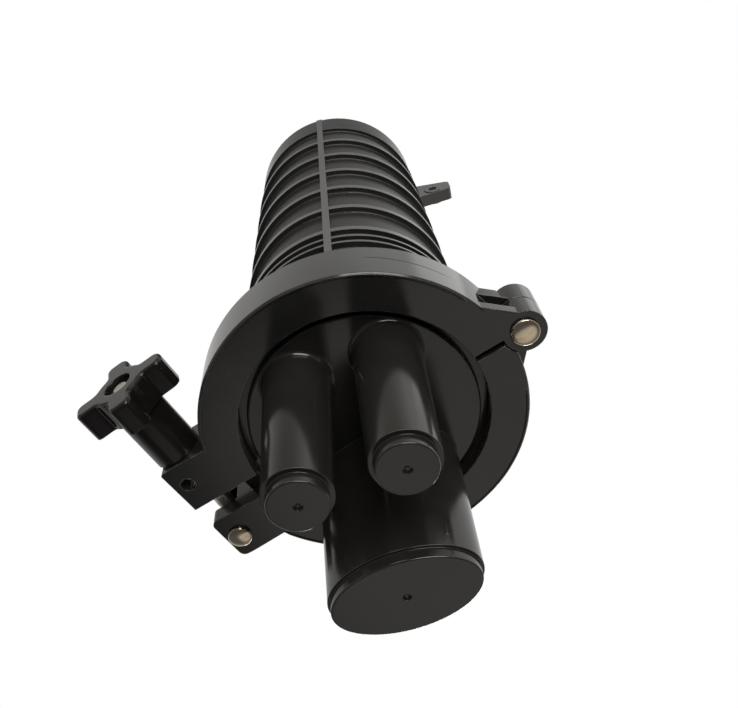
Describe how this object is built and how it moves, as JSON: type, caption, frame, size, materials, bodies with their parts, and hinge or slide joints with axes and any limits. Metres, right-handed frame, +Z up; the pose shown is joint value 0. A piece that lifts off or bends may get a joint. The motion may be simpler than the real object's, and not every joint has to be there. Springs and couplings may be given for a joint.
{
  "type": "dome splice closure",
  "caption": "Tall ribbed dome splice closure with closed round and oval cable ports, held shut by a hinged V-groove clamp with a star knob.",
  "frame": {"origin": "on the dome's axis, in the plane of the closed port ends", "axes": "+Z up the dome's axis towards its closed end, +X towards the clamp's hinge, -Y towards the knob"},
  "size_m": [0.2426, 0.185, 0.4695],
  "materials": {
    "dome_plastic": "moulded, satin",
    "base_plastic": "moulded, satin",
    "clamp_plastic": "moulded, satin, scuffed",
    "knob_plastic": "moulded, glossy",
    "seal_rubber": "moulded, matt",
    "holder_rubber": "moulded, matt",
    "plated_steel": "nickel plated",
    "bolt_steel": "zinc plated",
    "sheet_steel": "zinc plated",
    "screw_steel": "zinc plated",
    "brass": "turned",
    "tray_plastic": "moulded, satin",
    "clear_plastic": "clear, moulded",
    "strap_fabric": "woven"
  },
  "bodies": {
    "closure": {"dome_cover": "dome_plastic", "port_base": "base_plastic", "seal_ring": "seal_rubber", "clamp_half_pin": "clamp_plastic", "hinge_pin": "plated_steel", "bolt_pin": "plated_steel", "pin_clips": "plated_steel", "tray_bracket": "sheet_steel", "bracket_screws": "screw_steel", "anchor_screws": "screw_steel", "tower_screws": "screw_steel", "basket_screws": "screw_steel", "tray_tower": "tray_plastic", "tray_hinge_pins": "screw_steel", "tray_cover": "clear_plastic", "tray_strap": "strap_fabric", "slack_basket": "tray_plastic", "cable_anchor_1": "sheet_steel", "cable_anchor_2": "sheet_steel", "cable_anchor_3": "sheet_steel", "splice_tray_1": "tray_plastic", "splice_holder_1": "holder_rubber", "splice_tray_2": "tray_plastic", "splice_holder_2": "holder_rubber", "splice_tray_3": "tray_plastic", "splice_holder_3": "holder_rubber", "splice_tray_4": "tray_plastic", "splice_holder_4": "holder_rubber"},
    "clamp_half": {"clamp_half_knob": "clamp_plastic"},
    "swing_bolt": {"eye_bolt": "bolt_steel"},
    "insert": {"knob_insert": "brass"},
    "knob": {"star_knob": "knob_plastic"}
  },
  "joints": [
    {"name": "clamp_open", "type": "hinge", "parent": "closure", "child": "clamp_half", "pos_m": [0.1006, 0, 0.111], "axis": [0, 0, 1], "range_deg": [0, 3.5]},
    {"name": "bolt_swing", "type": "hinge", "parent": "closure", "child": "swing_bolt", "pos_m": [-0.1054, 0.024, 0.111], "axis": [0, 0, -1], "range_deg": [0, 95]},
    {"name": "knob_travel", "type": "slide", "parent": "swing_bolt", "child": "insert", "axis": [0.0349, -0.9994, 0], "range_m": [0, 0.01372]},
    {"name": "knob_turn", "type": "hinge", "parent": "insert", "child": "knob", "pos_m": [-0.1054, 0.024, 0.111], "axis": [0.0349, -0.9994, 0], "continuous": true}
  ],
  "couplings": [
    {"joint": "knob_travel", "follows": "clamp_open", "m_per_rad": 0.2214}
  ]
}
